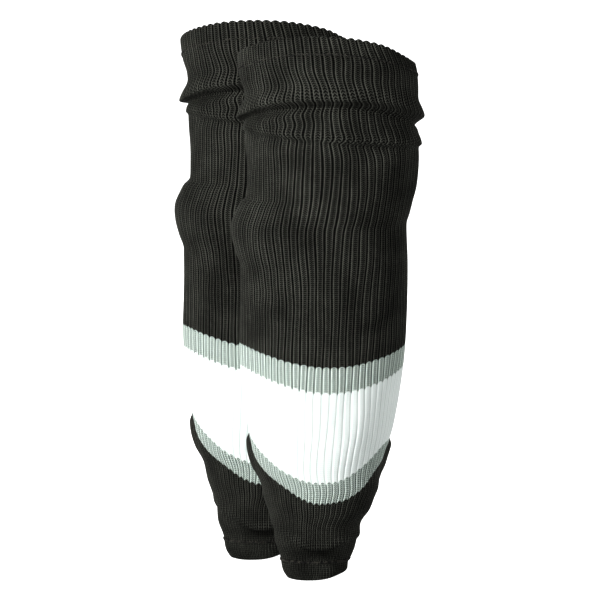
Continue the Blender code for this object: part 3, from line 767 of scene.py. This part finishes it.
def tricot(name, thread, gap):
    """Brushed tricot: soft fibres over a fine knit, which gives a dull, clouded surface. Its stitches are
    drawn 1.2 mm wide, where the real ones are about 0.5 mm, so that they show."""
    made, tree, shader = new_material(name, 0.95, sheen=0.25, specular=0.15)
    at = add(tree, "ShaderNodeTexCoord").outputs["Object"]
    cells = add(tree, "ShaderNodeTexVoronoi", {"Vector": at, "Scale": 1000 / 1.2})
    fuzz = add(tree, "ShaderNodeTexNoise", {"Vector": at, "Scale": 160.0, "Detail": 5.0})
    blend = add(tree, "ShaderNodeMath", {0: cells.outputs["Distance"], 1: fuzz}, operation="MULTIPLY")
    tint = add(tree, "ShaderNodeMix", {0: blend, 6: linear(thread), 7: linear(gap)}, data_type="RGBA")
    tree.links.new(tint.outputs[2], shader.inputs["Base Color"])
    normal = add(tree, "ShaderNodeBump", {"Strength": 0.7, "Distance": 0.25 * MM, "Height": blend})
    tree.links.new(normal.outputs[0], shader.inputs["Normal"])
    return made


lining = tricot("brushed tricot over foam, grey", "#70757A", "#34383C")
# Each pad's body, its reach to each side in degrees, its foot and top, its depth under the skin and its wall in
# mm, its rows, and its channels across, up and in depth.
PADS = (
    ("shin_liner", "_shin", 105, bowed(68, 56), bowed(318, -44), 13.6, 8.0, (90, 110), (7, 5, 2.6)),
    ("knee_pad", "_kneecap", 45, bowed(348, 8), bowed(432, -8), 11.4, 9.0, (52, 60), (3, 3, 3.2)),
    ("thigh_pad", "_thigh", 45, bowed(468, 4), bowed(570, -14), 11.6, 9.5, (52, 66), (3, 3, 3.2)),
)
# A pad's round edge, as a share of its wall.
PAD_EDGE = 0.6
for unit in UNITS:
    for name, body, reach, low, high, depth, wall, counts, channels in PADS:
        made = wrapped(f"{unit}_{name}_quilted", unit, -reach, reach, low, high, depth, wall, wall * PAD_EDGE,
                       counts, quilted(*channels))
        made.data.materials.append(lining)
        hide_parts(f"{unit}_{name}")
        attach(made, unit + body)


# The calf wings: thin moulded sheets riveted to the shin shell's edges, which close round the calf. Ribs run
# across them so that they bend easily one way only.
WING_RIBS = 12
# The angles in degrees that a wing covers, and its depth under the skin, its wall and its edge in mm.
WING_TURN = (60, 120)
WING_DEPTH, WING_WALL, WING_EDGE = 9.6, 1.8, 1.4


def ribbed(across, up):
    """Shallow cross ribs that fade at the wing's border."""
    fade = ramp(np.minimum(across, 1 - across) * 8) * ramp(np.minimum(up, 1 - up) * 8)
    sunk = 0.45 * fade * (0.5 + 0.5 * np.sin(WING_RIBS * math.tau * up))
    return sunk, -sunk


def tapered(height, change, side):
    """An edge at a height in mm at the shin shell that changes towards the wing's free end."""
    return lambda middle: height + change * ((1 + side * np.asarray(middle, float)) / 2) ** 2


wing_plastic = plastic("moulded sheet, black", "#242427", "#3E3E42", 0.48, 0.9)
for unit in UNITS:
    outer_side = 1 if unit == "left" else -1
    for side, where in ((outer_side, "outer"), (-outer_side, "inner")):
        first, last = sorted(side * angle for angle in WING_TURN)
        made = wrapped(f"{unit}_calf_wing_{where}_sheet", unit, first, last, tapered(120, 12, side),
                       tapered(282, -14, side), WING_DEPTH, WING_WALL, WING_EDGE, (26, 150), ribbed)
        made.data.materials.append(wing_plastic)
        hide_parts(f"{unit}_calf_wing_{where}")
        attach(made, unit + "_shin")


# The straps: woven elastic behind the calf, above the ankle and behind the thigh. Each ends in a tab of moulded
# hook tape on the outer side.
# The radius in mm at which a strap's weave is laid out, and the strap's flat radius.
WEAVE_RADIUS, FLAT_RADIUS = 80, 76


def strap_uv(made, unit):
    """The strap's UV map in mm: round the leg and up it, from each corner's own place."""
    mesh = made.data
    corner = np.empty(len(mesh.loops), np.int32)
    mesh.loops.foreach_get("vertex_index", corner)
    place = np.empty(len(mesh.vertices) * 3, np.float32)
    mesh.vertices.foreach_get("co", place)
    place = place.reshape(-1, 3)[corner] / MM
    round_it = np.arctan2(UNITS[unit][1] - place[:, 1], UNITS[unit][0] - place[:, 0]) % math.tau
    layer = mesh.uv_layers.new(name="weave")
    layer.data.foreach_set("uv", np.stack((round_it * WEAVE_RADIUS, place[:, 2]), 1).astype(np.float32).ravel())


def webbing_material():
    """Woven elastic: 1.6 mm cross ribs of rubber under the yarn, and warp lines 1.1 mm apart, which give it
    a small even check."""
    made, tree, shader = new_material("woven elastic, black", 0.8, sheen=0.1, specular=0.2)
    parts = add(tree, "ShaderNodeSeparateXYZ", {0: add(tree, "ShaderNodeUVMap", uv_map="weave")})
    # From 0 between two ribs, or two warp lines, to half their spacing in mm.
    rib = add(tree, "ShaderNodeMath", {0: parts.outputs[0], 1: 0.8}, operation="PINGPONG")
    warp = add(tree, "ShaderNodeMath", {0: parts.outputs[1], 1: 0.55}, operation="PINGPONG")
    weave = add(tree, "ShaderNodeMath", {0: rib, 1: warp}, operation="ADD")
    tone = add(tree, "ShaderNodeMapRange", {0: weave, 1: 0.2, 2: 1.1})
    tint = add(tree, "ShaderNodeMix", {0: tone, 6: linear("#0D0D0E"), 7: linear("#38383A")}, data_type="RGBA")
    tree.links.new(tint.outputs[2], shader.inputs["Base Color"])
    normal = add(tree, "ShaderNodeBump", {"Strength": 0.8, "Distance": 0.3 * MM, "Height": tone})
    tree.links.new(normal.outputs[0], shader.inputs["Normal"])
    return made


def hook_material():
    """Hook tape: stiff nylon hooks 1.5 mm apart on a ground, which catch the light as a field of dots."""
    made, tree, shader = new_material("hook tape, black nylon", 0.6, specular=0.4)
    at = add(tree, "ShaderNodeTexCoord").outputs["Object"]
    cells = add(tree, "ShaderNodeTexVoronoi", {"Vector": at, "Scale": 1000 / 1.5, "Randomness": 0.25})
    away = cells.outputs["Distance"]
    tint = add(tree, "ShaderNodeMix", {0: away, 6: linear("#2E2E30"), 7: linear("#0C0C0D")}, data_type="RGBA")
    tree.links.new(tint.outputs[2], shader.inputs["Base Color"])
    normal = add(tree, "ShaderNodeBump", {"Strength": 1.0, "Distance": 0.5 * MM, "Height": away}, invert=True)
    tree.links.new(normal.outputs[0], shader.inputs["Normal"])
    return made


webbing, hooks = webbing_material(), hook_material()
# Each strap's body, its ends in degrees, its lower and upper edge in mm, its own depth under the skin and its
# tab's, and the angle where the tab starts.
STRAPS = (
    ("calf_strap", "_shin", 105, 255, 226, 260, 4.5, 7.1, 105),
    ("lower_strap", "_shin", 105, 255, 142, 166, 4.5, 7.1, 105),
    ("thigh_strap", "_thigh", 60, 300, 500, 530, 11.2, 13.2, 75),
)
WEBBING_WALL, WEBBING_EDGE = 1.5, 0.7
TAB_TURN, TAB_MARGIN, TAB_WALL, TAB_EDGE = 15, 3, 1.0, 0.5
for unit in UNITS:
    side = 1 if unit == "left" else -1
    for name, body, first, last, low, high, depth, tab_depth, tab_start in STRAPS:
        made = wrapped(f"{unit}_{name}_webbing", unit, first, last, bowed(low, 0), bowed(high, 0), depth,
                       WEBBING_WALL, WEBBING_EDGE, (90, 8))
        strap_uv(made, unit)
        made.data.materials.append(webbing)
        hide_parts(f"{unit}_{name}")
        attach(made, unit + body)
        tab_first, tab_last = sorted((side * tab_start, side * (tab_start + TAB_TURN)))
        tab = wrapped(f"{unit}_{name}_tab_hooks", unit, tab_first, tab_last, bowed(low + TAB_MARGIN, 0),
                      bowed(high - TAB_MARGIN, 0), tab_depth, TAB_WALL, TAB_EDGE, (12, 12))
        tab.data.materials.append(hooks)
        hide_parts(f"{unit}_{name}_tab")
        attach(tab, unit + body)


# The studio: a white floor that runs on past the view and glows a little, as lit paper does, one large soft
# light in front and to the left, weak ones from the right and behind, and a white surround that lights a little.
floor_mesh = bpy.data.meshes.new("floor")
floor_mesh.from_pydata([(-40, -40, 0), (40, -40, 0), (40, 40, 0), (-40, 40, 0)], [], [(0, 1, 2, 3)])
floor = new_object("floor", floor_mesh)
floor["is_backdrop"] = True
floor.visible_diffuse = False
paper, _, paper_shader = new_material("seamless white paper", 0.95, specular=0.0)
paper_shader.inputs["Base Color"].default_value = linear("#C0C0C0")
paper_shader.inputs["Emission Color"].default_value = linear("#FFFFFF")
paper_shader.inputs["Emission Strength"].default_value = 0.8
floor_mesh.materials.append(paper)


def softbox(name, place, aim, size, power):
    """A square area light that faces a point."""
    light = bpy.data.lights.new(name, "AREA")
    light.shape = "SQUARE"
    light.size = size
    light.energy = power
    made = new_object(name, light)
    made.location = place
    made.rotation_mode = "QUATERNION"
    made.rotation_quaternion = (Vector(aim) - Vector(place)).to_track_quat("-Z", "Y")


softbox("key", (-1.75, -1.85, 1.2), (0, 0, 0.34), 0.9, 80)
softbox("fill", (2.4, -0.7, 0.7), (0, 0, 0.25), 1.4, 19)
softbox("behind", (-0.6, 2.5, 1.2), (0, 0, 0.3), 1.4, 26)
world = bpy.data.worlds.new("surround")
bpy.context.scene.world = world
world.use_nodes = True
world_tree = world.node_tree
seen = add(world_tree, "ShaderNodeBackground", {0: (1, 1, 1, 1), 1: 1.0})
lit = add(world_tree, "ShaderNodeBackground", {0: (1, 1, 1, 1), 1: 0.3})
path = add(world_tree, "ShaderNodeLightPath")
both = add(world_tree, "ShaderNodeMixShader", {0: path.outputs["Is Camera Ray"], 1: lit, 2: seen})
world_tree.links.new(both.outputs[0], world_tree.nodes["World Output"].inputs[0])
bpy.context.scene.view_settings.view_transform = "Standard"
bpy.context.scene.view_settings.look = "High Contrast"

# The camera: far off and a little above, so that the two units show side by side with hardly any perspective.
camera_data = bpy.data.cameras.new("camera")
camera_data.lens = 1064
camera_data.sensor_width = 36
camera_data.clip_end = 100
camera = new_object("camera", camera_data)
distance, elevation = 20, math.radians(7.308)
target = np.array((UNITS["left"][0] - 19.17, 0, 301.4 / math.cos(elevation))) * MM
camera.location = target + distance * np.array((0, -math.cos(elevation), math.sin(elevation)))
camera.rotation_euler = (math.pi / 2 - elevation, 0, 0)
bpy.context.scene.camera = camera

# The model's box, leaving out the floor.
low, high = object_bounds()
